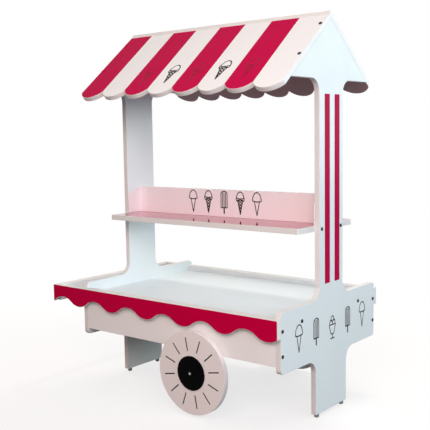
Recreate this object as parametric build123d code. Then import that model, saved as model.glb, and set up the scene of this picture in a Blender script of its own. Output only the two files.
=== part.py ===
"""Ice cream cart: a stall of flat laminated boards with a striped roof, a tray, a shelf and two wheels.

X runs along the cart towards its end without a handle, Y across it towards the rear, Z up.
The origin is on the floor, at the middle of the overall length and depth.
"""
from build123d import *
import os
from math import cos, radians, sin, tan
from typing import NamedTuple

# Boards
BOARD = 18.0            # panels, rails, tray, valances, handle, shelf, upstand, hangers and wheels
ROOF_BOARD = 16.0
CHEEK_BOARD = 4.0

# Overall lengths along X
PANEL_SPAN = 852.0      # between the outer faces of the two end panels
HANDLE_REACH = 145.0    # valances beyond the far panel

# End panel: foot, leg, crossbar, pillar and gable
GLIDE_HEIGHT = 12.0
LEG_WIDTH = 190.0
CROSS_DEPTH = 580.0
CROSS_BOTTOM = 190.0
CROSS_TOP = 379.0
PILLAR_WIDTH = 143.0
GABLE_HALF = 227.0      # middle to the gable's lower corner
INNER_RADIUS = 42.0     # where leg and pillar run into the crossbar, and pillar into gable
CORNER_RADIUS = 14.0    # outer corners of the crossbar

# Glides under the legs
GLIDE_RADIUS = 8.0
GLIDE_INSET = 18.0      # from the leg's side to the glide's centre
GLIDE_CHAMFER = 2.0

# Roof
ROOF_TOP = 1274.0
ROOF_PITCH = 39.5       # degrees
ROOF_SLOPE = 364.0      # each roof board down the slope, to its scallops' tips
SCALLOP_DROP = 30.0
STRIPES = 8

# Tray, rails and valances
RAIL_BOTTOM = 212.0
RAIL_TOP = 358.0        # rails, valances and handle bar share this edge
TRAY_SINK = 17.0        # tray floor below the rails' top
VALANCE_LOW = 289.0     # lowest points of the wave
WAVE_HEIGHT = 28.0
WAVE_PITCH = 165.0
WAVE_FROM_NEAR = 36.5   # near end to the first lowest point
HANDLE_HEIGHT = 61.0
HANDLE_EDGE = 5.0

# Shelf
SHELF_TOP = 611.0
SHELF_DEPTH = 326.0
SHELF_RADIUS = 8.0
UPSTAND_HEIGHT = 95.0
CHEEK_FRONT_HEIGHT = 70.0

# Wheels, hangers and stub axles
WHEEL_RADIUS = 136.0
WHEEL_CENTRE_Z = 144.0
WHEEL_FROM_NEAR = 329.0  # near panel's outer face to the wheel's centre
WHEEL_GAP = 5.0          # rail to wheel
HUB_RADIUS = 56.0
HUB_PLATE = 3.0
SPOKES = 12
SPOKE_INNER = 72.0
SPOKE_OUTER = 115.0
SPOKE_WIDTH = 4.0
SPOKE_DEPTH = 1.5
SPOKE_TURN = 11.0        # degrees
AXLE_RADIUS = 5.0
AXLE_FIT = 0.05          # running clearance on the radius
AXLE_COLLAR = 11.0
AXLE_PLAY = 0.3          # collar to wheel, head to hub plate
AXLE_HEAD_RADIUS = 6.5
AXLE_HEAD = 4.0
NUT_RADIUS = 9.0
NUT_HEIGHT = 8.0
HANGER_WIDTH = 100.0
HANGER_BELOW_AXLE = 45.0
HANGER_RADIUS = 30.0

# Places worked out from the sizes above
LENGTH = PANEL_SPAN + HANDLE_REACH
X_NEAR = LENGTH / 2
X_FAR = X_NEAR - PANEL_SPAN
X_HANDLE = -LENGTH / 2
X_MIDDLE = (X_NEAR + X_FAR) / 2
CLEAR_SPAN = PANEL_SPAN - 2 * BOARD
TILT = radians(ROOF_PITCH)
GABLE_APEX = ROOF_TOP - ROOF_BOARD * (cos(TILT) + 0.5 / cos(TILT))
GABLE_BOTTOM = GABLE_APEX - GABLE_HALF * tan(TILT)
ROOF_LINE = GABLE_APEX + ROOF_BOARD / cos(TILT)  # where the roof boards' upper faces would meet
ROOF_START = ROOF_BOARD * tan(TILT)              # from that line down to the front board's end
ROOF_LAP = ROOF_BOARD / sin(2 * TILT)            # how much higher on its own slope the rear board's end is
RAIL_FACE = CROSS_DEPTH / 2
TRAY_TOP = RAIL_TOP - TRAY_SINK
TRAY_UNDER = TRAY_TOP - BOARD
WHEEL_X = X_NEAR - WHEEL_FROM_NEAR


class Corner(NamedTuple):
    """A corner of an end panel's half outline: distance from the middle, height and rounding."""

    y: float
    z: float
    radius: float


PANEL_HALF = [
    Corner(LEG_WIDTH / 2, GLIDE_HEIGHT, 0),
    Corner(LEG_WIDTH / 2, CROSS_BOTTOM, INNER_RADIUS),
    Corner(CROSS_DEPTH / 2, CROSS_BOTTOM, CORNER_RADIUS),
    Corner(CROSS_DEPTH / 2, CROSS_TOP, CORNER_RADIUS),
    Corner(PILLAR_WIDTH / 2, CROSS_TOP, INNER_RADIUS),
    Corner(PILLAR_WIDTH / 2, GABLE_BOTTOM, INNER_RADIUS),
    Corner(GABLE_HALF, GABLE_BOTTOM, 0),
]


def block(x, y, z):
    """A board given by its lowest and highest X, Y and Z."""
    size = [high - low for low, high in (x, y, z)]
    middle = [(low + high) / 2 for low, high in (x, y, z)]
    return Pos(*middle) * Box(*size)


def end_panel(x):
    """An end panel whose lower-X face is at x."""
    right = [(c.y, c.z) for c in PANEL_HALF]
    left = [(-c.y, c.z) for c in reversed(PANEL_HALF)]
    outline = make_face(Polyline(*right, (0, GABLE_APEX), *left, close=True))
    for radius in (INNER_RADIUS, CORNER_RADIUS):
        spots = [(side * c.y, c.z) for c in PANEL_HALF if c.radius == radius for side in (1, -1)]
        corners = [outline.vertices().sort_by_distance(Vector(*spot))[0] for spot in spots]
        outline = fillet(corners, radius)
    return extrude(Plane((x, 0, 0), x_dir=(0, 1, 0), z_dir=(1, 0, 0)) * outline, BOARD)


def glide(x, y):
    """A round foot under a leg."""
    foot = Pos(x, y, GLIDE_HEIGHT / 2) * Cylinder(GLIDE_RADIUS, GLIDE_HEIGHT)
    return chamfer(foot.edges().group_by(Axis.Z)[0], GLIDE_CHAMFER)


def rail():
    """The front rail, between the panels and flush with their front edges."""
    return block(
        (X_FAR + BOARD, X_NEAR - BOARD), (-RAIL_FACE, -RAIL_FACE + BOARD), (RAIL_BOTTOM, RAIL_TOP)
    )


def tray_floor():
    """The tray's floor, between panels and rails."""
    half = RAIL_FACE - BOARD
    return block((X_FAR + BOARD, X_NEAR - BOARD), (-half, half), (TRAY_UNDER, TRAY_TOP))


def valance():
    """The front valance: a board with a wavy lower edge, low near its near end."""
    level = VALANCE_LOW + WAVE_HEIGHT / 2
    half_wave = WAVE_PITCH / 2
    count = 2 * (int(LENGTH / WAVE_PITCH) + 2)
    start = X_NEAR - WAVE_FROM_NEAR - (count - 2.5) * half_wave
    wave = []
    for i in range(count):
        x = start + i * half_wave
        swing = WAVE_HEIGHT / 2 if i % 2 == 0 else -WAVE_HEIGHT / 2
        wave.append(ThreePointArc((x, level), (x + half_wave / 2, level + swing), (x + half_wave, level)))
    stop = start + count * half_wave
    rim = Polyline((stop, level), (stop, RAIL_TOP), (start, RAIL_TOP), (start, level))
    strip = make_face(Curve() + wave + rim)
    board = extrude(Plane((0, -RAIL_FACE, 0), x_dir=(1, 0, 0), z_dir=(0, -1, 0)) * strip, BOARD)
    return board & block((X_HANDLE, X_NEAR), (-RAIL_FACE - BOARD, -RAIL_FACE), (0, RAIL_TOP))


def handle_bar():
    """The bar between the valances' ends, with rounded long edges."""
    bar = block(
        (X_HANDLE, X_HANDLE + BOARD), (-RAIL_FACE, RAIL_FACE), (RAIL_TOP - HANDLE_HEIGHT, RAIL_TOP)
    )
    return fillet(bar.edges().filter_by(Axis.Y), HANDLE_EDGE)


def shelf():
    """The shelf between the pillars, deeper than they are, with rounded corners."""
    top = RectangleRounded(CLEAR_SPAN, SHELF_DEPTH, SHELF_RADIUS)
    return extrude(Pos(X_MIDDLE, 0, SHELF_TOP - BOARD) * top, BOARD)


def upstand():
    """The board that stands along the middle of the shelf."""
    return block(
        (X_FAR + BOARD, X_NEAR - BOARD), (-BOARD / 2, BOARD / 2), (SHELF_TOP, SHELF_TOP + UPSTAND_HEIGHT)
    )


def cheek(x):
    """A cheek on a pillar, from the upstand to the pillar's front edge, its lower-X face at x."""
    outline = [
        (-BOARD / 2, SHELF_TOP),
        (-BOARD / 2, SHELF_TOP + UPSTAND_HEIGHT),
        (-PILLAR_WIDTH / 2, SHELF_TOP + CHEEK_FRONT_HEIGHT),
        (-PILLAR_WIDTH / 2, SHELF_TOP),
    ]
    face = make_face(Polyline(*outline, close=True))
    return extrude(Plane((x, 0, 0), x_dir=(0, 1, 0), z_dir=(1, 0, 0)) * face, CHEEK_BOARD)


def roof_board(start):
    """A board on the front slope with one scallop to each stripe, its upper end this far below ROOF_LINE."""
    width = PANEL_SPAN / STRIPES
    tip = start + ROOF_SLOPE
    notch = tip - SCALLOP_DROP
    eave = []
    for i in range(STRIPES):
        x = X_FAR + i * width
        eave.append(ThreePointArc((x, notch), (x + width / 2, tip), (x + width, notch)))
    sides = Polyline((X_NEAR, notch), (X_NEAR, start), (X_FAR, start), (X_FAR, notch))
    slope = Plane((0, 0, ROOF_LINE), x_dir=(1, 0, 0), z_dir=(0, sin(TILT), -cos(TILT)))
    return extrude(slope * make_face(Curve() + eave + sides), ROOF_BOARD)


def roof():
    """Both roof boards: the rear one's square end laps over the front one, which is bevelled to fit under it."""
    rear = mirror(roof_board(ROOF_START - ROOF_LAP), about=Plane.XZ)
    return roof_board(ROOF_START) - rear, rear


def wheel_plane(out):
    """The plane across the front axle, at a distance out from the rail's front face."""
    return Plane((WHEEL_X, -RAIL_FACE - out, WHEEL_CENTRE_Z), x_dir=(1, 0, 0), z_dir=(0, -1, 0))


def round_bar(radius, inner, outer):
    """A cylinder on the front axle's line between two distances out from the rail's front face."""
    return extrude(wheel_plane(inner) * Circle(radius), outer - inner)


def hanger():
    """The board behind the front rail that hangs below it and carries the stub axle."""
    low = WHEEL_CENTRE_Z - HANGER_BELOW_AXLE
    height = TRAY_UNDER - low
    plate = Pos(0, low + height / 2 - WHEEL_CENTRE_Z) * Rectangle(HANGER_WIDTH, height)
    plate = fillet(plate.vertices().group_by(Axis.Y)[0], HANGER_RADIUS)
    return extrude(wheel_plane(-2 * BOARD) * (plate - Circle(AXLE_RADIUS + AXLE_FIT)), BOARD)


def stub_axle():
    """The stub axle: a nut behind the hanger, a collar against its front and a head on the hub plate."""
    hub_front = WHEEL_GAP + BOARD + HUB_PLATE + AXLE_PLAY
    pin = round_bar(AXLE_RADIUS, -2 * BOARD - NUT_HEIGHT, hub_front + AXLE_HEAD)
    nut = extrude(wheel_plane(-2 * BOARD - NUT_HEIGHT) * RegularPolygon(NUT_RADIUS, 6), NUT_HEIGHT)
    collar = round_bar(AXLE_COLLAR, -BOARD, WHEEL_GAP - AXLE_PLAY)
    head = round_bar(AXLE_HEAD_RADIUS, hub_front, hub_front + AXLE_HEAD)
    return pin + nut + collar + head


def wheel_disc():
    """A disc wheel with engraved spokes round its hub."""
    disc = round_bar(WHEEL_RADIUS, WHEEL_GAP, WHEEL_GAP + BOARD)
    spoke = Rectangle(SPOKE_OUTER - SPOKE_INNER, SPOKE_WIDTH)
    ring = PolarLocations((SPOKE_INNER + SPOKE_OUTER) / 2, SPOKES, start_angle=SPOKE_TURN)
    grooves = extrude(wheel_plane(WHEEL_GAP + BOARD) * (Sketch() + ring * spoke), -SPOKE_DEPTH)
    return disc - grooves - round_bar(AXLE_RADIUS + AXLE_FIT, WHEEL_GAP, WHEEL_GAP + BOARD)


def hub_plate():
    """The round plate on the wheel's outer face."""
    back = WHEEL_GAP + BOARD
    plate = round_bar(HUB_RADIUS, back, back + HUB_PLATE)
    return plate - round_bar(AXLE_RADIUS + AXLE_FIT, back, back + HUB_PLATE)


def build():
    """Every piece by its name; apart from the roof, the pieces at the rear mirror those at the front."""
    pieces = {
        "panel_near": end_panel(X_NEAR - BOARD),
        "panel_far": end_panel(X_FAR),
        "tray_floor": tray_floor(),
        "handle_bar": handle_bar(),
        "shelf": shelf(),
        "upstand": upstand(),
    }
    fronts = {
        "rail": rail(),
        "valance": valance(),
        "hanger": hanger(),
        "axle": stub_axle(),
        "wheel": wheel_disc(),
        "hub_plate": hub_plate(),
        "cheek_near": cheek(X_NEAR - BOARD - CHEEK_BOARD),
        "cheek_far": cheek(X_FAR + BOARD),
        "glide_near": glide(X_NEAR - BOARD / 2, -LEG_WIDTH / 2 + GLIDE_INSET),
        "glide_far": glide(X_FAR + BOARD / 2, -LEG_WIDTH / 2 + GLIDE_INSET),
    }
    pieces["roof_front"], pieces["roof_rear"] = roof()
    for name, piece in fronts.items():
        pieces[f"{name}_front"] = piece
        pieces[f"{name}_rear"] = mirror(piece, about=Plane.XZ)
    return pieces


os.makedirs("parts", exist_ok=True)
for node, solid in build().items():
    export_step(solid, f"parts/{node}.step")
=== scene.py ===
"""Looks of the ice cream cart: finishes, eased boards, drawn figures, screws and a studio."""
from __future__ import annotations

import logging
import math
from abc import ABC, abstractmethod
from collections.abc import Sequence
from dataclasses import dataclass, field
from enum import Enum
from typing import Any, ClassVar, NamedTuple

import bmesh
import bpy
from mathutils import Matrix, Vector


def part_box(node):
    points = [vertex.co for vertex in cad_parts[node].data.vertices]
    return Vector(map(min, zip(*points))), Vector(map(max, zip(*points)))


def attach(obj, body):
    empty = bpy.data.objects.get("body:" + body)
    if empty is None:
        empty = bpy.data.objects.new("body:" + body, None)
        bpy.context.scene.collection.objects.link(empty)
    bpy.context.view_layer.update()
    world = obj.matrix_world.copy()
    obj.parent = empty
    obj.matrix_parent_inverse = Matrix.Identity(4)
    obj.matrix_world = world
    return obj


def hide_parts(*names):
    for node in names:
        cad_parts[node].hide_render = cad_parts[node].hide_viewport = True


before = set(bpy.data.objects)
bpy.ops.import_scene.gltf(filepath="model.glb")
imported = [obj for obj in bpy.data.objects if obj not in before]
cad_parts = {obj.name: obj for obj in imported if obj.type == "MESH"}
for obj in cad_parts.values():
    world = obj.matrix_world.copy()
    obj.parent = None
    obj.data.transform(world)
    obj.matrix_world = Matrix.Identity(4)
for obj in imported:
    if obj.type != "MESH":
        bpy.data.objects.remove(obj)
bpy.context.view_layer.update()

LOG = logging.getLogger("ice_cream_cart")
STALL = "stall"
UP, DOWN = Vector((0, 0, 1)), Vector((0, 0, -1))
FRONT, REAR = Vector((0, -1, 0)), Vector((0, 1, 0))
NEAR, FAR = Vector((1, 0, 0)), Vector((-1, 0, 0))
# The long sides and the ends by name, with the way that each one faces
SIDES = {"front": FRONT, "rear": REAR}
ENDS = {"near": NEAR, "far": FAR}

# A drawn line, as its points
Line = list[Vector]


class Slot(str, Enum):
    """The record's material slots."""

    WHITE = "white_laminate"
    RED = "red_laminate"
    PINK = "pink_laminate"
    BLACK = "black_plastic"
    ZINC = "zinc_steel"


class Figure(Enum):
    """The line figures that are drawn on the boards."""

    SCOOP = "scoop_cone"
    WAFFLE = "waffle_cone"
    LOLLY = "lolly"
    CUP = "cup"


def mm(size: float) -> float:
    """Metres from millimetres."""
    return size / 1000


# Places closer together than this count as one
TOUCH = mm(0.01)


def linear(colour: str) -> tuple[float, float, float, float]:
    """Turns an sRGB colour to linear light.

    Args:
        colour: Six hex digits, red, green and blue.

    Returns:
        Linear red, green and blue, with an alpha of 1.
    """
    parts = [int(colour[i : i + 2], 16) / 255 for i in (0, 2, 4)]
    light = [p / 12.92 if p <= 0.04045 else ((p + 0.055) / 1.055) ** 2.4 for p in parts]
    return light[0], light[1], light[2], 1.0


def add(
    tree: bpy.types.NodeTree, kind: str, inputs: dict[Any, Any] | None = None, **settings: Any
) -> bpy.types.Node:
    """Adds a node to a tree.

    Args:
        tree: The tree that gets the node.
        kind: The node's type.
        inputs: Values or source sockets by the input's name or number.
        settings: The node's own attributes.

    Returns:
        The new node.
    """
    node = tree.nodes.new(kind)
    for name, value in settings.items():
        setattr(node, name, value)
    for key, value in (inputs or {}).items():
        if isinstance(value, bpy.types.NodeSocket):
            tree.links.new(value, node.inputs[key])
        else:
            node.inputs[key].default_value = value
    return node


@dataclass(frozen=True)
class Finish:
    """A surface: what it is made of, its colours and the texture that its making leaves.

    The tone drifts between two colours in wide soft patches, the gloss varies in smaller ones, and a
    fine grain stands on the surface. All patterns are sized in millimetres.
    """

    name: str
    colour: str
    drift: str
    drift_mm: float = 260.0
    gloss: tuple[float, float] = (0.3, 0.4)
    gloss_mm: float = 70.0
    grain_mm: float = 1.6
    grain_depth_mm: float = 0.02
    grain_stretch: tuple[float, float, float] = (1.0, 1.0, 1.0)
    ior: float = 1.5
    specular: float = 0.5
    metallic: float = 0.0
    coat: float = 0.0
    coat_roughness: float = 0.03

    # Numbers of the Mix node's sockets for colours, which share their names with its other kinds
    MIX_SHARE: ClassVar[int] = 0
    MIX_A: ClassVar[int] = 6
    MIX_B: ClassVar[int] = 7
    MIX_RESULT: ClassVar[int] = 2
    # Layers of noise in each pattern, the range that noise mostly keeps to, and the grain's weight
    DRIFT_DETAIL: ClassVar[float] = 3.0
    GLOSS_DETAIL: ClassVar[float] = 4.0
    GRAIN_DETAIL: ClassVar[float] = 2.0
    NOISE_LOW: ClassVar[float] = 0.3
    NOISE_HIGH: ClassVar[float] = 0.7
    GRAIN_STRENGTH: ClassVar[float] = 0.8

    def material(self) -> bpy.types.Material:
        """Gives the finish as a material, made at its first use.

        Returns:
            The material, with all its patterns on Object coordinates.
        """
        made = bpy.data.materials.get(self.name)
        if made:
            return made
        made = bpy.data.materials.new(self.name)
        made.use_nodes = True
        made.diffuse_color = linear(self.colour)
        tree = made.node_tree
        tree.nodes.clear()
        place = add(tree, "ShaderNodeTexCoord").outputs["Object"]
        drawn = add(tree, "ShaderNodeMapping", {"Vector": place, "Scale": self.grain_stretch})
        patches, smears, grain = (
            add(tree, "ShaderNodeTexNoise", {"Vector": at, "Scale": 1 / mm(size), "Detail": detail})
            for at, size, detail in (
                (place, self.drift_mm, self.DRIFT_DETAIL),
                (place, self.gloss_mm, self.GLOSS_DETAIL),
                (drawn.outputs["Vector"], self.grain_mm, self.GRAIN_DETAIL),
            )
        )
        tone = add(tree, "ShaderNodeMix", {
            self.MIX_SHARE: patches.outputs["Fac"],
            self.MIX_A: linear(self.colour), self.MIX_B: linear(self.drift),
        }, data_type="RGBA")
        rough = add(tree, "ShaderNodeMapRange", {
            "Value": smears.outputs["Fac"], "From Min": self.NOISE_LOW, "From Max": self.NOISE_HIGH,
            "To Min": self.gloss[0], "To Max": self.gloss[1],
        })
        bump = add(tree, "ShaderNodeBump", {
            "Height": grain.outputs["Fac"], "Distance": mm(self.grain_depth_mm),
            "Strength": self.GRAIN_STRENGTH,
        })
        shader = add(tree, "ShaderNodeBsdfPrincipled", {
            "Base Color": tone.outputs[self.MIX_RESULT], "Roughness": rough.outputs["Result"],
            "Normal": bump.outputs["Normal"], "IOR": self.ior, "Specular IOR Level": self.specular,
            "Metallic": self.metallic, "Coat Weight": self.coat, "Coat Roughness": self.coat_roughness,
        })
        add(tree, "ShaderNodeOutputMaterial", {"Surface": shader.outputs["BSDF"]})
        return made


# Melamine-faced board, pressed against a pearl-grained plate: a cool satin white. The grain is drawn
# several times its real 0.3 mm, so that it shows.
WHITE = Finish("melamine_white", "EEF1F2", "E8ECEE", specular=0.35)
# The same board with a painted cool light cast, on the end panels and the tray: a cooler white that stands
# in for the cool light that falls on them.
WHITE_PAINTED_COOL_LIGHT = Finish("melamine_cool_white", "E7F1F4", "E1ECF0", specular=0.35)
# The same board with a painted warm light cast, on the wheels: a creamier white that stands in for the
# warm light on their faces.
WHITE_PAINTED_WARM_LIGHT = Finish("melamine_warm_white", "F3EEEE", "EDE7E7", gloss=(0.32, 0.42), specular=0.35)
# The same board painted brighter on the rails' outer faces: a lighter white that stands in for the light
# that falls on them.
WHITE_PAINTED_BRIGHT_LIGHT = Finish("melamine_bright_white", "F7F7F8", "F1F1F2", gloss=(0.32, 0.42), specular=0.35)
# ABS edge band, rolled on and scraped flush: a duller white with faint scraper lines.
BAND = Finish("abs_edge_band", "EAEBEA", "E3E3E2", 120.0, gloss=(0.36, 0.46), grain_mm=2.4,
              grain_stretch=(0.15, 0.15, 1.0), specular=0.08)
# Decorative laminate, satin pressed: a full raspberry that keeps its colour at a slant.
RED = Finish("laminate_raspberry", "C2094B", "B80645", gloss=(0.28, 0.36), grain_mm=2.2,
             grain_depth_mm=0.012, specular=0.012)
# The same laminate on the valances, which are a shade deeper.
DEEP_RED = Finish("laminate_deep_raspberry", "CB0244", "BE003D", gloss=(0.28, 0.36), grain_mm=2.2,
                  grain_depth_mm=0.012, specular=0.02)
# High-gloss acrylic facing: a pink that mirrors what stands on it.
GLOSS_PINK = Finish("acrylic_pink", "C24A6E", "BC4368", gloss=(0.03, 0.05), grain_mm=6.0,
                    grain_depth_mm=0.002, coat=0.15)
# Melamine in a pale pink, satin: it takes a deeper pink from the shelf below it.
PALE_PINK = Finish("melamine_pale_pink", "FBF4F8", "F7EEF3", gloss=(0.26, 0.36), specular=0.35)
# Painted shade on the undersides of the roof and tray: a dull brown-grey that stands in for the shade
# under them.
PAINTED_SHADE_UNDERSIDE = Finish("backing_taupe", "94797F", "886E74", gloss=(0.5, 0.62), grain_mm=3.0, grain_depth_mm=0.04)
# Spark-grained moulded ABS: a deep black that throws little light back.
BLACK = Finish("moulded_black", "020202", "050505", 60.0, gloss=(0.42, 0.55), grain_mm=1.2,
               grain_depth_mm=0.03, specular=0.02)
# Moulded nylon of the feet: a dull mid grey.
GREY = Finish("moulded_grey_nylon", "8C8884", "827E7A", 40.0, gloss=(0.45, 0.55), grain_mm=1.4,
              grain_depth_mm=0.03)
# Black oxide on steel: near black with a cold sheen.
BLACKENED = Finish("black_oxide_steel", "26282B", "1C1E21", 12.0, gloss=(0.3, 0.42), grain_mm=0.8,
                   metallic=0.6)
# Zinc-plated steel, passivated: bright grey with cloudy gloss.
ZINC = Finish("zinc_steel", "C3C4C2", "AEB0AF", 18.0, gloss=(0.22, 0.38), gloss_mm=9.0, grain_mm=0.9,
              metallic=1.0)
# Paint wiped into the router's lines: dull and almost black.
INFILL = Finish("infill_black", "1A1313", "261D1D", 30.0, gloss=(0.5, 0.65), grain_mm=1.0, specular=0.15)
# The same lines on red, filled with a darker red.
INFILL_RED = Finish("infill_dark_red", "A6093B", "9A0635", 30.0, gloss=(0.35, 0.5), grain_mm=1.0,
                    specular=0.05)


def new_piece(name: str, mesh: bpy.types.Mesh) -> bpy.types.Object:
    """Puts a mesh in the scene at the origin.

    Args:
        name: The piece's name.
        mesh: Its mesh, in place.

    Returns:
        The new object.
    """
    piece = bpy.data.objects.new(name, mesh)
    bpy.context.scene.collection.objects.link(piece)
    return piece


def baked(piece: bpy.types.Object) -> bpy.types.Object:
    """Turns a piece with modifiers into a plain mesh.

    Args:
        piece: The object, whose modifiers go.

    Returns:
        The same object.
    """
    graph = bpy.context.evaluated_depsgraph_get()
    mesh = bpy.data.meshes.new_from_object(
        piece.evaluated_get(graph), preserve_all_data_layers=True, depsgraph=graph)
    piece.modifiers.clear()
    piece.data = mesh
    mesh.name = piece.name
    return piece


def hand_over(piece: bpy.types.Object, body: str, node: str | None = None) -> None:
    """Puts a finished piece on its body and reports it.

    Args:
        piece: The finished object.
        body: The body that it moves with.
        node: The CAD node that it is shown in place of, if any.
    """
    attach(piece, body)
    if node:
        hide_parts(node)
    LOG.info("%s: %d faces on %s", piece.name, len(piece.data.polygons), body)


class Side(NamedTuple):
    """A finish for the faces of a board that look one way."""

    towards: Vector
    finish: Finish


@dataclass
class Board:
    """A board as it shows: its solid's shape with eased edges, and a finish to each side."""

    node: str
    slot: Slot
    edge: Finish
    sides: Sequence[Side] = ()
    body: str = STALL
    ease: float = mm(1.0)
    low: Vector = field(init=False)
    high: Vector = field(init=False)

    # Corners of the solid's triangles that are merged, and faces that are joined as one plane
    MERGED: ClassVar[float] = mm(0.002)
    SAME_PLANE: ClassVar[float] = math.radians(0.5)
    # Edges that are eased, and in how many steps to which roundness
    SHARP: ClassVar[float] = math.radians(30)
    EASE_STEPS: ClassVar[int] = 2
    EASE_PROFILE: ClassVar[float] = 0.5
    # How nearly a face looks the way of its side, as a cosine
    FACING: ClassVar[float] = 0.97

    def __post_init__(self) -> None:
        """Takes the solid's box, with its lowest and highest corner."""
        self.low, self.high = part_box(self.node)

    def cut(self, form: bmesh.types.BMesh) -> None:
        """Splits faces where the finish changes inside a side; a plain board has no such place."""

    def finish_of(self, normal: Vector, centre: Vector) -> Finish:
        """Chooses the finish of a face.

        Args:
            normal: The face's direction.
            centre: The face's middle.

        Returns:
            The finish of the side that the face lies on, or else the edge's.
        """
        return next((s.finish for s in self.sides if normal.dot(s.towards) > self.FACING), self.edge)

    def eased(self) -> bmesh.types.BMesh:
        """Takes the solid's shape, merged and cut, and eases its sharp edges.

        Returns:
            The shape.
        """
        form = bmesh.new()
        form.from_mesh(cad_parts[self.node].data)
        bmesh.ops.remove_doubles(form, verts=form.verts, dist=self.MERGED)
        bmesh.ops.dissolve_limit(form, angle_limit=self.SAME_PLANE, verts=form.verts, edges=form.edges)
        self.cut(form)
        form.normal_update()
        sharp = [e for e in form.edges if e.is_manifold and e.calc_face_angle(0.0) > self.SHARP]
        bmesh.ops.bevel(
            form, geom=sharp, offset=self.ease, segments=self.EASE_STEPS, profile=self.EASE_PROFILE,
            affect="EDGES", clamp_overlap=True)
        form.normal_update()
        return form

    def dressed(self, form: bmesh.types.BMesh) -> bpy.types.Mesh:
        """Gives each face its finish.

        Args:
            form: The board's shape, which is used up.

        Returns:
            The mesh, with a material to each finish.
        """
        finishes: list[Finish] = []
        for face in form.faces:
            finish = self.finish_of(face.normal, face.calc_center_median())
            if finish not in finishes:
                finishes.append(finish)
            face.material_index = finishes.index(finish)
            face.smooth = True
        mesh = bpy.data.meshes.new(f"{self.node}_piece")
        form.to_mesh(mesh)
        form.free()
        for finish in finishes:
            mesh.materials.append(finish.material())
        return mesh

    def build(self) -> None:
        """Makes the piece, in place of its solid."""
        piece = new_piece(f"{self.node}_piece", self.dressed(self.eased()))
        flat = piece.modifiers.new("flat_faces", "WEIGHTED_NORMAL")
        flat.mode = "FACE_AREA"
        hand_over(baked(piece), self.body, self.node)


@dataclass
class StripedRoofBoard(Board):
    """A roof board whose upper face changes colour from stripe to stripe."""

    stripes: int = 8
    first: Finish = RED
    second: Finish = WHITE
    upper: Vector = UP

    def limits(self) -> list[float]:
        """The X of each stripe's start, and of the last one's end."""
        length = self.high.x - self.low.x
        return [self.low.x + length * i / self.stripes for i in range(self.stripes + 1)]

    def cut(self, form: bmesh.types.BMesh) -> None:
        """Cuts the board's faces along the stripes.

        Args:
            form: The board's shape.
        """
        for x in self.limits()[1:-1]:
            everything = [*form.verts, *form.edges, *form.faces]
            bmesh.ops.bisect_plane(form, geom=everything, dist=TOUCH, plane_co=(x, 0, 0), plane_no=NEAR)

    def finish_of(self, normal: Vector, centre: Vector) -> Finish:
        """Chooses the stripe's finish on the upper face, and the sides' elsewhere.

        Args:
            normal: The face's direction.
            centre: The face's middle.

        Returns:
            The face's finish.
        """
        if normal.dot(self.upper) < self.FACING:
            return super().finish_of(normal, centre)
        place = sum(centre.x > x for x in self.limits()[1:])
        return self.second if place % 2 else self.first


@dataclass
class Turned(Board):
    """A round piece about an axle that runs along Y, seen from its outer end."""

    out: Vector = FRONT

    def depth(self, place: Vector) -> float:
        """How far a place lies behind the outer end."""
        return ((self.low if self.out.y < 0 else self.high) - place).dot(self.out)

    def spread(self, place: Vector) -> float:
        """How far a place lies from the axle's line."""
        middle = (self.low + self.high) / 2
        return math.hypot(place.x - middle.x, place.z - middle.z)


@dataclass
class EngravedDisc(Turned):
    """A wheel's disc, with paint in its engraved spokes."""

    groove_inner: float = mm(69)
    groove_outer: float = mm(118)
    groove_depth: float = mm(1.7)
    skin: float = mm(0.15)

    def finish_of(self, normal: Vector, centre: Vector) -> Finish:
        """Chooses paint on the grooves' walls and floors, and the sides' finish elsewhere.

        Args:
            normal: The face's direction.
            centre: The face's middle.

        Returns:
            The face's finish.
        """
        sunk = self.skin < self.depth(centre) < self.groove_depth
        engraved = sunk and self.groove_inner < self.spread(centre) < self.groove_outer
        return INFILL if engraved else super().finish_of(normal, centre)


@dataclass
class AxleBolt(Turned):
    """A stub axle: a plated bolt whose blackened head shows a bare centre."""

    head_ring: float = mm(3.4)
    head_height: float = mm(6)
    end_skin: float = mm(0.05)
    bare_radius: float = mm(0.5)

    def cut(self, form: bmesh.types.BMesh) -> None:
        """Draws the centre's rim on the head's outer face.

        Args:
            form: The bolt's shape.
        """
        form.normal_update()
        top = [f for f in form.faces if self.depth(f.calc_center_median()) < self.end_skin]
        bmesh.ops.inset_region(form, faces=top, thickness=self.head_ring, depth=0.0, use_even_offset=True)

    def finish_of(self, normal: Vector, centre: Vector) -> Finish:
        """Chooses bare metal in the head's centre and on the shank, and black on the rest of the head.

        Args:
            normal: The face's direction.
            centre: The face's middle.

        Returns:
            The face's finish.
        """
        shank = self.depth(centre) > self.head_height
        middle = normal.dot(self.out) > self.FACING and self.spread(centre) < self.bare_radius
        return self.edge if shank or middle else BLACKENED


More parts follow.
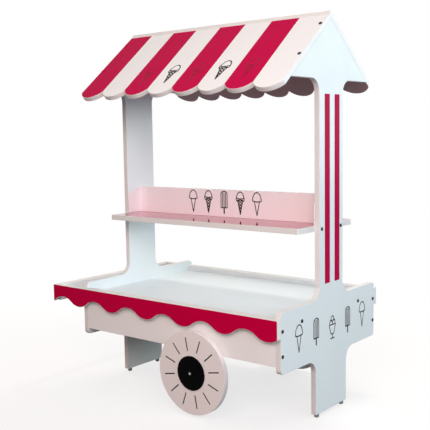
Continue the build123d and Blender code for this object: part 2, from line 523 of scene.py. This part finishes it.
class NodeTree:
    """A Geometry Nodes tree that makes small pieces on points, with named inputs."""

    def __init__(self, name: str, sockets: dict[str, str]) -> None:
        """Starts a tree.

        Args:
            name: The tree's name.
            sockets: Types of its own inputs by name, beside the Size and Finish that each tree has.
        """
        self.tree = bpy.data.node_groups.new(name, "GeometryNodeTree")
        face = self.tree.interface
        face.new_socket("Geometry", in_out="INPUT", socket_type="NodeSocketGeometry")
        face.new_socket("Geometry", in_out="OUTPUT", socket_type="NodeSocketGeometry")
        for label, kind in {**sockets, "Size": "NodeSocketFloat", "Finish": "NodeSocketMaterial"}.items():
            face.new_socket(label, in_out="INPUT", socket_type=kind)
        self.inputs = add(self.tree, "NodeGroupInput").outputs

    def close(self, instance: bpy.types.NodeSocket, turn: bpy.types.NodeSocket) -> None:
        """Ends the tree: one copy of the instance on each point, realized and given its finish.

        Args:
            instance: The geometry that repeats.
            turn: The rotation of each copy.
        """
        copies = add(self.tree, "GeometryNodeInstanceOnPoints", {
            "Points": self.inputs["Geometry"], "Instance": instance, "Rotation": turn,
            "Scale": self.inputs["Size"],
        })
        plain = add(self.tree, "GeometryNodeRealizeInstances", {"Geometry": copies.outputs["Instances"]})
        finished = add(self.tree, "GeometryNodeSetMaterial", {
            "Geometry": plain.outputs["Geometry"], "Material": self.inputs["Finish"],
        })
        add(self.tree, "NodeGroupOutput", {"Geometry": finished.outputs["Geometry"]})

    def grow(self, piece: bpy.types.Object, values: dict[str, Any]) -> bpy.types.Object:
        """Runs the tree on a piece and keeps the result as its mesh.

        Args:
            piece: An object whose points carry the tree's attributes.
            values: The inputs' values by name.

        Returns:
            The same object, with no modifier.
        """
        modifier = piece.modifiers.new(self.tree.name, "NODES")
        modifier.node_group = self.tree
        for item in self.tree.interface.items_tree:
            if item.item_type == "SOCKET" and item.in_out == "INPUT" and item.name in values:
                modifier[item.identifier] = values[item.name]
        return baked(piece)


def points_mesh(
    name: str, places: Sequence[Vector], attribute: str, values: Sequence[Vector]
) -> bpy.types.Mesh:
    """Makes a mesh of loose points that carry one vector each.

    Args:
        name: The mesh's name.
        places: The points.
        attribute: The vector attribute's name.
        values: Its values, one to a point.

    Returns:
        The mesh.
    """
    mesh = bpy.data.meshes.new(name)
    mesh.from_pydata([tuple(p) for p in places], [], [])
    layer = mesh.attributes.new(attribute, "FLOAT_VECTOR", "POINT")
    for item, value in zip(layer.data, values):
        item.vector = tuple(value)
    return mesh


class Spot(NamedTuple):
    """Where a screw sits, and the way that it faces."""

    place: Vector
    facing: Vector


@dataclass
class Screws:
    """Button-head screws with a round socket, set on points."""

    radius: float = mm(6.0)
    height: float = mm(2.2)
    corners: int = 24
    # Rise and width of each ring on the head, as shares of the height and of the ring before it
    rings: tuple[tuple[float, float], ...] = ((0.22, 0.9), (0.12, 0.78), (0.0, 0.62), (-0.5, 0.94))
    tree: NodeTree = field(init=False)

    def __post_init__(self) -> None:
        """Builds the tree: a low cylinder, its rim drawn in, and a socket sunk in its top."""
        self.tree = NodeTree("button_screws", {"Radius": "NodeSocketFloat", "Height": "NodeSocketFloat"})
        tree, inputs = self.tree.tree, self.tree.inputs
        body = add(tree, "GeometryNodeMeshCylinder", {
            "Vertices": self.corners, "Radius": inputs["Radius"], "Depth": inputs["Height"],
        })
        shape, top = body.outputs["Mesh"], body.outputs["Top"]
        for rise, width in self.rings:
            lift = add(tree, "ShaderNodeMath", {0: inputs["Height"], 1: rise}, operation="MULTIPLY")
            ring = add(tree, "GeometryNodeExtrudeMesh", {
                "Mesh": shape, "Selection": top, "Offset Scale": lift.outputs[0], "Individual": False,
            })
            drawn = add(tree, "GeometryNodeScaleElements", {
                "Geometry": ring.outputs["Mesh"], "Selection": ring.outputs["Top"], "Scale": width,
            })
            shape, top = drawn.outputs["Geometry"], ring.outputs["Top"]
        facing = add(
            tree, "GeometryNodeInputNamedAttribute", {"Name": "facing"}, data_type="FLOAT_VECTOR")
        turn = add(
            tree, "FunctionNodeAlignRotationToVector", {"Vector": facing.outputs["Attribute"]}, axis="Z")
        self.tree.close(shape, turn.outputs["Rotation"])

    def build(
        self, name: str, spots: Sequence[Spot], finish: Finish = BLACKENED, slot: Slot = Slot.BLACK
    ) -> None:
        """Sets a screw on each spot of the stall, all in one mesh.

        Args:
            name: The piece's name.
            spots: Where the screws go.
            finish: What their heads are coated with.
            slot: Not used.
        """
        mesh = points_mesh(name, [s.place for s in spots], "facing", [s.facing for s in spots])
        piece = self.tree.grow(new_piece(name, mesh), {
            "Radius": self.radius, "Height": self.height, "Size": 1.0, "Finish": finish.material(),
        })
        hand_over(piece, STALL)


def arc(
    middle: tuple[float, float], half: tuple[float, float], start: float, stop: float, steps: int = 16
) -> Line:
    """Gives points along an arc of an ellipse in the XY plane.

    Args:
        middle: The ellipse's middle, across and up, in millimetres.
        half: Half its width and half its height.
        start: The first angle, in degrees from the right.
        stop: The last angle.
        steps: Straight runs between them.

    Returns:
        The points, in metres.
    """
    (x, y), (wide, high) = middle, half
    turns = [math.radians(start + (stop - start) * i / steps) for i in range(steps + 1)]
    return [Vector((mm(x + wide * math.cos(t)), mm(y + high * math.sin(t)), 0)) for t in turns]


def path(*corners: tuple[float, float]) -> Line:
    """Points of a straight-sided line, from millimetres in the XY plane."""
    return [Vector((mm(x), mm(y), 0)) for x, y in corners]


def strokes(*corners: tuple[float, float]) -> list[Line]:
    """A straight-sided line as separate runs, so that its sharp corners keep their full width."""
    return [path(*run) for run in zip(corners, corners[1:])]


class Drawing(ABC):
    """A figure in the XY plane about its own middle, with its sizes in millimetres."""

    @abstractmethod
    def lines(self) -> list[Line]:
        """The figure's lines, with their points in metres."""


@dataclass(frozen=True)
class Cone(Drawing):
    """What all cones have: straight sides that meet in a tip, and a dome of ice cream on the rim."""

    half: float = 11.0
    rim: float = 11.5
    tip: float = -39.0
    dome_half: float = 18.0
    dome_high: float = 28.0

    def lines(self) -> list[Line]:
        """The sides and the dome."""
        sides = strokes((-self.half, self.rim), (0, self.tip), (self.half, self.rim))
        return [*sides, arc((0, self.rim), (self.dome_half, self.dome_high), 0, 180, 24)]


@dataclass(frozen=True)
class ScoopCone(Cone):
    """A plain cone under a scoop with a sagging brim."""

    brim_sag: float = 3.5

    def lines(self) -> list[Line]:
        """The cone and the brim."""
        return [*super().lines(), arc((0, self.rim), (self.dome_half, self.brim_sag), 180, 360)]


@dataclass(frozen=True)
class WaffleCone(Cone):
    """A cone with crossed waffle lines under a scoop with a lip."""

    dome_half: float = 17.0
    lip_up: float = 8.0
    lip_half: float = 16.0
    lip_sag: float = 4.0
    shoulder_half: float = 9.9
    shoulder_drop: float = 7.0
    hatch: int = 5
    hatch_reach: float = 1.2

    def band(self, number: int) -> list[Line]:
        """Gives a pair of waffle lines that cross.

        Args:
            number: Which pair, counted from the rim.

        Returns:
            Both lines.
        """
        # Where the lines start and end, as shares of the way from the rim to the tip
        shares = (number / self.hatch, (number + self.hatch_reach) / self.hatch)
        wide, narrow = (self.half * (1 - share) for share in shares)
        high, low = (self.rim + (self.tip - self.rim) * share for share in shares)
        return [path((hand * wide, high), (-hand * narrow, low)) for hand in (-1, 1)]

    def lines(self) -> list[Line]:
        """Gives the cone with its lip, shoulders, rim and waffle lines.

        Returns:
            All lines. The last pair of waffle lines is left out, because it would run past the tip.
        """
        lip = arc((0, self.rim + self.lip_up), (self.lip_half, self.lip_sag), 200, 340, 12)
        drop = self.rim - self.shoulder_drop
        shoulders = [
            path((hand * self.dome_half, self.rim), (hand * self.shoulder_half, drop)) for hand in (-1, 1)
        ]
        edge = path((-self.half, self.rim), (self.half, self.rim))
        bands = [line for number in range(self.hatch - 1) for line in self.band(number)]
        return [*super().lines(), lip, *shoulders, edge, *bands]


@dataclass(frozen=True)
class Lolly(Drawing):
    """A round-topped ice lolly with grooves, on a stick."""

    half: float = 13.5
    low: float = -18.0
    shoulder: float = 30.0
    crown: float = 10.0
    grooves: tuple[float, ...] = (-6.8, 0.0, 6.8)
    groove_past: float = 6.0
    stick_half: float = 1.2
    stick_end: float = -39.0

    def lines(self) -> list[Line]:
        """Gives the outline, its lower edge, the grooves and the stick.

        Returns:
            All lines.
        """
        left, right = (-self.half, self.low), (self.half, self.low)
        crown = arc((0, self.shoulder), (self.half, self.crown), 180, 0)
        ice = [*path(left, (-self.half, self.shoulder)), *crown[1:], *path(right)]
        grooves = [path((x, self.low), (x, self.shoulder + self.groove_past)) for x in self.grooves]
        stick = [path((x, self.low), (x, self.stick_end)) for x in (-self.stick_half, self.stick_half)]
        return [ice, path(left, right), *grooves, *stick]


@dataclass(frozen=True)
class Cup(Drawing):
    """A footed cup with three scoops."""

    lip_half: float = 18.0
    lip: float = 4.0
    bowl_half: float = 8.0
    bowl: float = -24.0
    foot_half: float = 12.0
    foot: float = -37.0
    scoop_half: float = 8.0
    scoop_high: float = 15.0
    top_up: float = 13.0
    top_high: float = 13.0

    def lines(self) -> list[Line]:
        """Gives the cup, its stem and foot, two scoops on the lip and one above them.

        Returns:
            All lines.
        """
        left, right = (-self.lip_half, self.lip), (self.lip_half, self.lip)
        cup = strokes(left, (-self.bowl_half, self.bowl), (self.bowl_half, self.bowl), right, left)
        stem = path((0, self.bowl), (0, self.foot))
        foot = path((-self.foot_half, self.foot), (self.foot_half, self.foot))
        scoops = [
            arc((x, self.lip), (self.scoop_half, self.scoop_high), 0, 180, 14)
            for x in (-self.scoop_half, self.scoop_half)
        ]
        top = arc((0, self.lip + self.top_up), (self.scoop_half, self.top_high), -15, 195)
        return [*cup, stem, foot, *scoops, top]


DRAWINGS: dict[Figure, Drawing] = {
    Figure.SCOOP: ScoopCone(), Figure.WAFFLE: WaffleCone(), Figure.LOLLY: Lolly(), Figure.CUP: Cup(),
}


class Place(NamedTuple):
    """Where a figure is drawn: its middle, and its own right and up."""

    figure: Figure
    middle: Vector
    right: Vector
    up: Vector

    def turn(self) -> Vector:
        """The Euler angles that lay the figure's plane on its place."""
        axes = Matrix((self.right, self.up, self.right.cross(self.up))).transposed()
        return Vector(axes.to_euler())


@dataclass
class LineFigures:
    """Figures drawn in flat lines on a board's face."""

    line_width: float = mm(3.6)
    line_height: float = mm(0.5)
    corners: int = 8
    tree: NodeTree = field(init=False)

    def __post_init__(self) -> None:
        """Builds the tree: each drawn line swept with a flat oval section."""
        self.tree = NodeTree("drawn_lines", {
            "Figure": "NodeSocketObject", "Line width": "NodeSocketFloat",
            "Line height": "NodeSocketFloat",
        })
        tree, inputs = self.tree.tree, self.tree.inputs
        drawing = add(tree, "GeometryNodeObjectInfo", {"Object": inputs["Figure"]})
        lines = add(tree, "GeometryNodeMeshToCurve", {"Mesh": drawing.outputs["Geometry"]})
        level = add(tree, "GeometryNodeSetCurveNormal", {"Curve": lines.outputs["Curve"]}, mode="Z_UP")
        # A circle one unit across, so that its scale is the line's section
        oval = add(tree, "GeometryNodeCurvePrimitiveCircle", {"Resolution": self.corners, "Radius": 0.5})
        size = add(tree, "ShaderNodeCombineXYZ", {
            "X": inputs["Line width"], "Y": inputs["Line height"], "Z": 1.0,
        })
        section = add(tree, "GeometryNodeTransform", {
            "Geometry": oval.outputs["Curve"], "Scale": size.outputs["Vector"],
        })
        swept = add(tree, "GeometryNodeCurveToMesh", {
            "Curve": level.outputs["Curve"], "Profile Curve": section.outputs["Geometry"],
            "Fill Caps": True,
        })
        turned = add(tree, "GeometryNodeInputNamedAttribute", {"Name": "turn"}, data_type="FLOAT_VECTOR")
        turn = add(tree, "FunctionNodeEulerToRotation", {"Euler": turned.outputs["Attribute"]})
        self.tree.close(swept.outputs["Mesh"], turn.outputs["Rotation"])

    def model(self, figure: Figure) -> bpy.types.Object:
        """Gives a figure's lines as the edges of an object that isn't in the scene.

        Args:
            figure: Which one.

        Returns:
            The object.
        """
        points: list[tuple[float, ...]] = []
        edges: list[tuple[int, int]] = []
        for line in DRAWINGS[figure].lines():
            start = len(points)
            points += [tuple(p) for p in line]
            edges += [(i, i + 1) for i in range(start, len(points) - 1)]
        mesh = bpy.data.meshes.new(figure.value)
        mesh.from_pydata(points, edges, [])
        return bpy.data.objects.new(figure.value, mesh)

    def build(
        self, name: str, places: Sequence[Place], finish: Finish = INFILL, size: float = 1.0
    ) -> None:
        """Draws figures on the stall, one mesh to each kind.

        Args:
            name: The start of the pieces' names.
            places: The figures and where they go.
            finish: What their lines are filled with.
            size: How many times as large as on the upstand they are.
        """
        for figure in Figure:
            chosen = [p for p in places if p.figure is figure]
            if not chosen:
                continue
            label = f"{name}_{figure.value}"
            mesh = points_mesh(label, [p.middle for p in chosen], "turn", [p.turn() for p in chosen])
            model = self.model(figure)
            piece = self.tree.grow(new_piece(label, mesh), {
                "Figure": model, "Line width": self.line_width, "Line height": self.line_height,
                "Size": size, "Finish": finish.material(),
            })
            bpy.data.objects.remove(model)
            hand_over(piece, STALL)


@dataclass
class EndPanels:
    """The two end panels with stripes, screws, and a row of figures on the near crossbar."""

    screws: Screws
    figures: LineFigures
    stripe_width: float = mm(30.4)
    stripe_apart: float = mm(60.2)
    stripe_shift: float = mm(4.7)
    stripe_low: float = mm(425)
    stripe_high: float = mm(1019)
    stripe_thick: float = mm(0.6)
    stripe_ease: float = mm(0.24)
    rail_screw_y: float = mm(281)
    rail_screw_z: tuple[float, float] = (mm(245), mm(321))
    tray_screw: tuple[float, float] = (mm(175), mm(332))
    shelf_screw: tuple[float, float] = (mm(58), mm(601))
    row_z: float = mm(280.5)
    row_pitch: float = mm(99)
    row_shift: float = mm(6)
    row_size: float = 1.09
    row: tuple[Figure, ...] = (Figure.SCOOP, Figure.LOLLY, Figure.CUP, Figure.LOLLY, Figure.SCOOP)

    def outer(self, end: str) -> float:
        """The X of a panel's outer face."""
        low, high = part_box(f"panel_{end}")
        return high.x if ENDS[end] is NEAR else low.x

    def stripe(self, name: str, end: str, y: float) -> None:
        """Lays one stripe of laminate on a pillar.

        Args:
            name: The piece's name.
            end: The panel's end.
            y: The stripe's middle.
        """
        x = self.outer(end) + ENDS[end].x * self.stripe_thick / 2
        middle = Matrix.Translation((x, y, (self.stripe_low + self.stripe_high) / 2))
        size = (self.stripe_thick, self.stripe_width, self.stripe_high - self.stripe_low, 1.0)
        form = bmesh.new()
        bmesh.ops.create_cube(form, size=1.0, matrix=middle @ Matrix.Diagonal(size))
        rims = [e for e in form.edges if abs((e.verts[0].co - e.verts[1].co).x) < TOUCH]
        bmesh.ops.bevel(
            form, geom=rims, offset=self.stripe_ease, segments=Board.EASE_STEPS,
            profile=Board.EASE_PROFILE, affect="EDGES")
        mesh = bpy.data.meshes.new(name)
        form.to_mesh(mesh)
        form.free()
        mesh.materials.append(RED.material())
        hand_over(new_piece(name, mesh), STALL)

    def fasten(self, end: str) -> None:
        """Sets a panel's screws into the rails, the tray and the shelf, in pairs.

        Args:
            end: The panel's end.
        """
        holes = [(self.rail_screw_y, z) for z in self.rail_screw_z] + [self.tray_screw, self.shelf_screw]
        x = self.outer(end)
        self.screws.build(f"screws_panel_{end}", [
            Spot(Vector((x, side.y * y, z)), ENDS[end]) for y, z in holes for side in SIDES.values()
        ])

    def draw_row(self) -> None:
        """Draws the row of figures on the near crossbar."""
        across = UP.cross(NEAR)
        start = self.row_shift - self.row_pitch * (len(self.row) - 1) / 2
        first = Vector((self.outer("near"), 0, self.row_z)) + across * start
        self.figures.build("drawn_panel_near", [
            Place(figure, first + across * self.row_pitch * i, across, UP)
            for i, figure in enumerate(self.row)
        ], size=self.row_size)

    def build(self) -> None:
        """Makes both panels and what is on them."""
        for end in ENDS:
            # Both faces of each panel carry the painted cool light cast.
            faces = (Side(NEAR, WHITE_PAINTED_COOL_LIGHT), Side(FAR, WHITE_PAINTED_COOL_LIGHT))
            Board(f"panel_{end}", Slot.WHITE, BAND, faces).build()
            for side, out in SIDES.items():
                y = self.stripe_shift + out.y * self.stripe_apart / 2
                self.stripe(f"stripe_{end}_{side}", end, y)
            self.fasten(end)
        self.draw_row()


@dataclass
class Tray:
    """Tray floor, rails, wavy valances and the push handle."""

    def build(self) -> None:
        """Makes the boards round the tray."""
        # The tray floor's top carries the painted cool light cast.
        # The tray floor's underside carries painted shade.
        Board("tray_floor", Slot.WHITE, BAND, (Side(UP, WHITE_PAINTED_COOL_LIGHT), Side(DOWN, PAINTED_SHADE_UNDERSIDE))).build()
        ends = (Side(NEAR, WHITE), Side(FAR, WHITE))
        Board("handle_bar", Slot.WHITE, BAND, ends).build()
        for side, out in SIDES.items():
            # The rails' outer faces carry the painted brighter white, their inner faces the plain one.
            Board(f"rail_{side}", Slot.WHITE, BAND, (Side(out, WHITE_PAINTED_BRIGHT_LIGHT), Side(-out, WHITE))).build()
            faces = (Side(out, DEEP_RED), Side(-out, WHITE), *ends)
            Board(f"valance_{side}", Slot.RED, BAND, faces).build()


@dataclass
class Shelf:
    """The shelf, its upstand with figures on both faces, and the cheeks on the pillars."""

    figures: LineFigures
    pitch: float = mm(70.5)
    shift: float = mm(1.5)
    height: float = mm(50.5)
    row: tuple[Figure, ...] = (Figure.SCOOP, Figure.WAFFLE, Figure.LOLLY, Figure.WAFFLE, Figure.SCOOP)

    def draw_rows(self) -> None:
        """Draws a row of figures on each face of the upstand."""
        low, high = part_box("upstand")
        middle = (low.x + high.x) / 2 + self.shift
        places = []
        for y, out in ((low.y, FRONT), (high.y, REAR)):
            across = UP.cross(out)
            for i, figure in enumerate(self.row):
                along = across * self.pitch * (i - (len(self.row) - 1) / 2)
                places.append(Place(figure, Vector((middle, y, low.z + self.height)) + along, across, UP))
        self.figures.build("drawn_upstand", places)

    def build(self) -> None:
        """Makes the boards and draws the figures."""
        Board("shelf", Slot.PINK, BAND, (Side(UP, GLOSS_PINK), Side(DOWN, WHITE))).build()
        Board("upstand", Slot.PINK, PALE_PINK).build()
        for side in SIDES:
            for end in ENDS:
                Board(f"cheek_{end}_{side}", Slot.PINK, PALE_PINK).build()
        self.draw_rows()


@dataclass
class RoofSide:
    """One side of the roof: a striped board, its screws into the panels and figures on its stripes."""

    side: str
    screws: Screws
    figures: LineFigures
    stripes: int = 8
    pitch: float = math.radians(39.5)
    board: float = mm(16)
    screw_down: tuple[float, ...] = (mm(64), mm(219))
    figure_up: float = mm(104)
    figure_size: float = 1.22
    black_stripes: tuple[int, ...] = (3, 5)
    red_stripes: tuple[int, ...] = (2, 4, 6)
    low: Vector = field(init=False)
    high: Vector = field(init=False)
    upper: Vector = field(init=False)
    down: Vector = field(init=False)
    ridge: Vector = field(init=False)

    def __post_init__(self) -> None:
        """Takes the board's box, the way that it faces, the way down it, and the middle of the ridge."""
        out, rise, run = SIDES[self.side].y, math.sin(self.pitch), math.cos(self.pitch)
        self.low, self.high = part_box(f"roof_{self.side}")
        self.upper, self.down = Vector((0, out * rise, run)), Vector((0, out * run, -rise))
        # Both upper faces would meet over the gables' apex, below the corner of the rear board's lap
        lap = self.board / math.sin(2 * self.pitch)
        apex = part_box("roof_rear")[1].z - self.board * run - lap * rise
        self.ridge = Vector((0, 0, apex + self.board / run))

    def fasten(self) -> None:
        """Sets the screws over both panels, with red caps on the far end's red stripe."""
        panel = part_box("panel_near")[1].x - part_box("rail_front")[1].x
        for end, x, finish, slot in (
            ("near", self.high.x - panel / 2, BLACKENED, Slot.BLACK),
            ("far", self.low.x + panel / 2, RED, Slot.RED),
        ):
            self.screws.build(f"screws_roof_{self.side}_{end}", [
                Spot(self.ridge + self.down * along + NEAR * x, self.upper) for along in self.screw_down
            ], finish, slot)

    def draw(self) -> None:
        """Draws a waffle cone on some of the stripes, black on white and dark red on red."""
        width = (self.high.x - self.low.x) / self.stripes
        eave = self.low if self.down.y < 0 else self.high
        line = self.ridge + self.down * (eave.y / self.down.y - self.figure_up)
        right = (-self.down).cross(self.upper)
        for label, finish, chosen in (
            ("black", INFILL, self.black_stripes), ("red", INFILL_RED, self.red_stripes),
        ):
            self.figures.build(f"drawn_roof_{self.side}_{label}", [
                Place(Figure.WAFFLE, line + NEAR * (self.low.x + width * (i + 0.5)), right, -self.down)
                for i in chosen
            ], finish, self.figure_size)

    def build(self) -> None:
        """Makes the board and what is on it."""
        # The roof's underside carries painted shade.
        faces = (Side(-self.upper, PAINTED_SHADE_UNDERSIDE), Side(NEAR, WHITE), Side(FAR, WHITE))
        StripedRoofBoard(
            f"roof_{self.side}", Slot.RED, BAND, faces, stripes=self.stripes, upper=self.upper,
        ).build()
        self.fasten()
        self.draw()


@dataclass
class RunningGear:
    """Wheels with their hub plates, the stub axles and hangers that carry them, and the glides."""

    disc_ease: float = mm(0.6)
    plate_ease: float = mm(0.8)
    axle_ease: float = mm(0.6)
    glide_ease: float = mm(0.5)

    def build(self) -> None:
        """Makes the pieces of both sides."""
        for side, out in SIDES.items():
            wheel = f"wheel_{side}"
            # The wheel discs carry the painted warm light cast.
            EngravedDisc(wheel, Slot.WHITE, WHITE_PAINTED_WARM_LIGHT, body=wheel, ease=self.disc_ease, out=out).build()
            Board(f"hub_plate_{side}", Slot.BLACK, BLACK, body=wheel, ease=self.plate_ease).build()
            AxleBolt(f"axle_{side}", Slot.ZINC, ZINC, ease=self.axle_ease, out=out).build()
            Board(f"hanger_{side}", Slot.WHITE, BAND, (Side(out, WHITE), Side(-out, WHITE))).build()
            for end in ENDS:
                Board(f"glide_{end}_{side}", Slot.BLACK, GREY, ease=self.glide_ease).build()


class Lamp(NamedTuple):
    """A soft lamp: where it stands, its size, power and colour, and whether gloss shows it."""

    name: str
    place: tuple[float, float, float]
    size: float
    power: float
    colour: str
    mirrored: bool = True


@dataclass
class Studio:
    """Camera, soft lamps, pale surroundings and floor."""

    eye: tuple[float, float, float] = (1.7548, -2.1467, 0.9032)
    azimuth: float = 38.86
    tilt_down: float = 5.98
    roll: float = -0.91
    lens: float = 65.4
    clip_start: float = 0.05
    aim: tuple[float, float, float] = (0.0, 0.0, 0.6)
    lamps: tuple[Lamp, ...] = (
        Lamp("side_low", (3.2, -0.9, 1.4), 2.0, 39.0, "D3EFFF"),
        Lamp("beside_camera", (2.2, -2.6, 1.8), 1.6, 45.0, "FFE4DE", mirrored=False),
        Lamp("front_high", (0.9, -2.4, 2.0), 1.4, 27.0, "FFEAE3", mirrored=False),
        Lamp("rear_high", (0.0, 1.6, 4.0), 0.6, 43.0, "FFF4EC", mirrored=False),
        Lamp("rear_side", (2.0, 2.6, 1.4), 1.6, 30.0, "ECFFFF"),
        Lamp("rear_low", (-0.9, 3.2, 0.9), 1.5, 40.0, "FFF6F2", mirrored=False),
        Lamp("far_side", (-3.0, 0.8, 0.9), 1.5, 34.0, "FFFAF6", mirrored=False),
    )
    ambient: str = "FFF3EC"
    ambient_strength: float = 0.32
    background: str = "FFFFFF"
    floor_half: float = 14.0
    floor_seen: str = "F6F6F6"
    floor_glow: float = 0.72
    floor_bounce: str = "46403E"
    fade_from: float = 0.7
    fade_to: float = 2.2

    def camera(self) -> None:
        """Stands the camera where the cart was seen from."""
        data = bpy.data.cameras.new("camera")
        data.lens = self.lens
        data.clip_start = self.clip_start
        eye = bpy.data.objects.new("camera", data)
        bpy.context.scene.collection.objects.link(eye)
        eye.location = self.eye
        heading = Matrix.Rotation(math.radians(self.azimuth), 4, "Z")
        level = heading @ Matrix.Rotation(math.radians(90 - self.tilt_down), 4, "X")
        eye.rotation_euler = (level @ Matrix.Rotation(math.radians(self.roll), 4, "Z")).to_euler()
        bpy.context.scene.camera = eye

    def light(self) -> None:
        """Hangs the lamps, all aimed at the cart's middle."""
        for lamp in self.lamps:
            data = bpy.data.lights.new(lamp.name, "AREA")
            data.size = lamp.size
            data.energy = lamp.power
            data.color = linear(lamp.colour)[:3]
            hung = bpy.data.objects.new(lamp.name, data)
            bpy.context.scene.collection.objects.link(hung)
            hung.location = lamp.place
            hung.visible_camera = False
            hung.visible_glossy = lamp.mirrored
            beam = Vector(self.aim) - Vector(lamp.place)
            hung.rotation_euler = beam.to_track_quat("-Z", "Y").to_euler()

    def looked_at(self, tree: bpy.types.NodeTree) -> bpy.types.NodeSocket:
        """Tells rays that look, from the eye or off gloss or through glass, from rays that light.

        Args:
            tree: The tree that gets the nodes.

        Returns:
            A socket with 1 on a ray that looks, and 0 on the others.
        """
        ray = add(tree, "ShaderNodeLightPath").outputs
        seen = ray["Is Camera Ray"]
        for kind in ("Is Glossy Ray", "Is Transmission Ray"):
            seen = add(tree, "ShaderNodeMath", {0: seen, 1: ray[kind]}, operation="MAXIMUM").outputs[0]
        return seen

    def surroundings(self) -> None:
        """Gives a white background to the eye and to gloss, and a plain soft light to the rest."""
        world = bpy.data.worlds.new("surroundings")
        bpy.context.scene.world = world
        world.use_nodes = True
        tree = world.node_tree
        tree.nodes.clear()
        soft = add(tree, "ShaderNodeBackground", {
            "Color": linear(self.ambient), "Strength": self.ambient_strength,
        })
        white = add(tree, "ShaderNodeBackground", {"Color": linear(self.background), "Strength": 1.0})
        both = add(tree, "ShaderNodeMixShader", {
            0: self.looked_at(tree), 1: soft.outputs["Background"], 2: white.outputs["Background"],
        })
        add(tree, "ShaderNodeOutputWorld", {"Surface": both.outputs["Shader"]})

    def floor_paint(self) -> bpy.types.Material:
        """Makes a pale floor that keeps a light shadow near the cart and fades to white further out.

        Returns:
            The floor's material, which throws less light on the cart than it shows to the eye.
        """
        made = bpy.data.materials.new("floor_paint")
        made.use_nodes = True
        tree = made.node_tree
        tree.nodes.clear()
        place = add(tree, "ShaderNodeTexCoord").outputs["Object"]
        spread = add(tree, "ShaderNodeVectorMath", {0: place}, operation="LENGTH")
        fade = add(tree, "ShaderNodeMapRange", {
            "Value": spread.outputs["Value"], "From Min": self.fade_from, "From Max": self.fade_to,
            "To Min": self.floor_glow,
        }, interpolation_type="SMOOTHSTEP")
        bounce = add(tree, "ShaderNodeBsdfDiffuse", {"Color": linear(self.floor_bounce)})
        paint = add(tree, "ShaderNodeBsdfDiffuse", {"Color": linear(self.floor_seen)})
        white = add(tree, "ShaderNodeEmission", {"Color": linear(self.background), "Strength": 1.0})
        seen = add(tree, "ShaderNodeMixShader", {
            0: fade.outputs["Result"], 1: paint.outputs["BSDF"], 2: white.outputs["Emission"],
        })
        both = add(tree, "ShaderNodeMixShader", {
            0: self.looked_at(tree), 1: bounce.outputs["BSDF"], 2: seen.outputs["Shader"],
        })
        add(tree, "ShaderNodeOutputMaterial", {"Surface": both.outputs["Shader"]})
        return made

    def floor(self) -> None:
        """Lays the floor."""
        half = self.floor_half
        corners = [(-half, -half, 0), (half, -half, 0), (half, half, 0), (-half, half, 0)]
        mesh = bpy.data.meshes.new("floor")
        mesh.from_pydata(corners, [], [(0, 1, 2, 3)])
        mesh.materials.append(self.floor_paint())
        new_piece("floor", mesh)

    def build(self) -> None:
        """Sets up the view."""
        self.camera()
        self.light()
        self.surroundings()
        self.floor()
        bpy.context.scene.view_settings.view_transform = "Standard"


def main() -> None:
    """Builds the studio and every sub-assembly."""
    logging.basicConfig(level=logging.INFO, format="%(name)s %(message)s")
    Studio().build()
    screws, figures = Screws(), LineFigures()
    roof = [RoofSide(side, screws, figures) for side in SIDES]
    for assembly in (EndPanels(screws, figures), Tray(), Shelf(figures), *roof, RunningGear()):
        assembly.build()


if __name__ == "__main__":
    main()
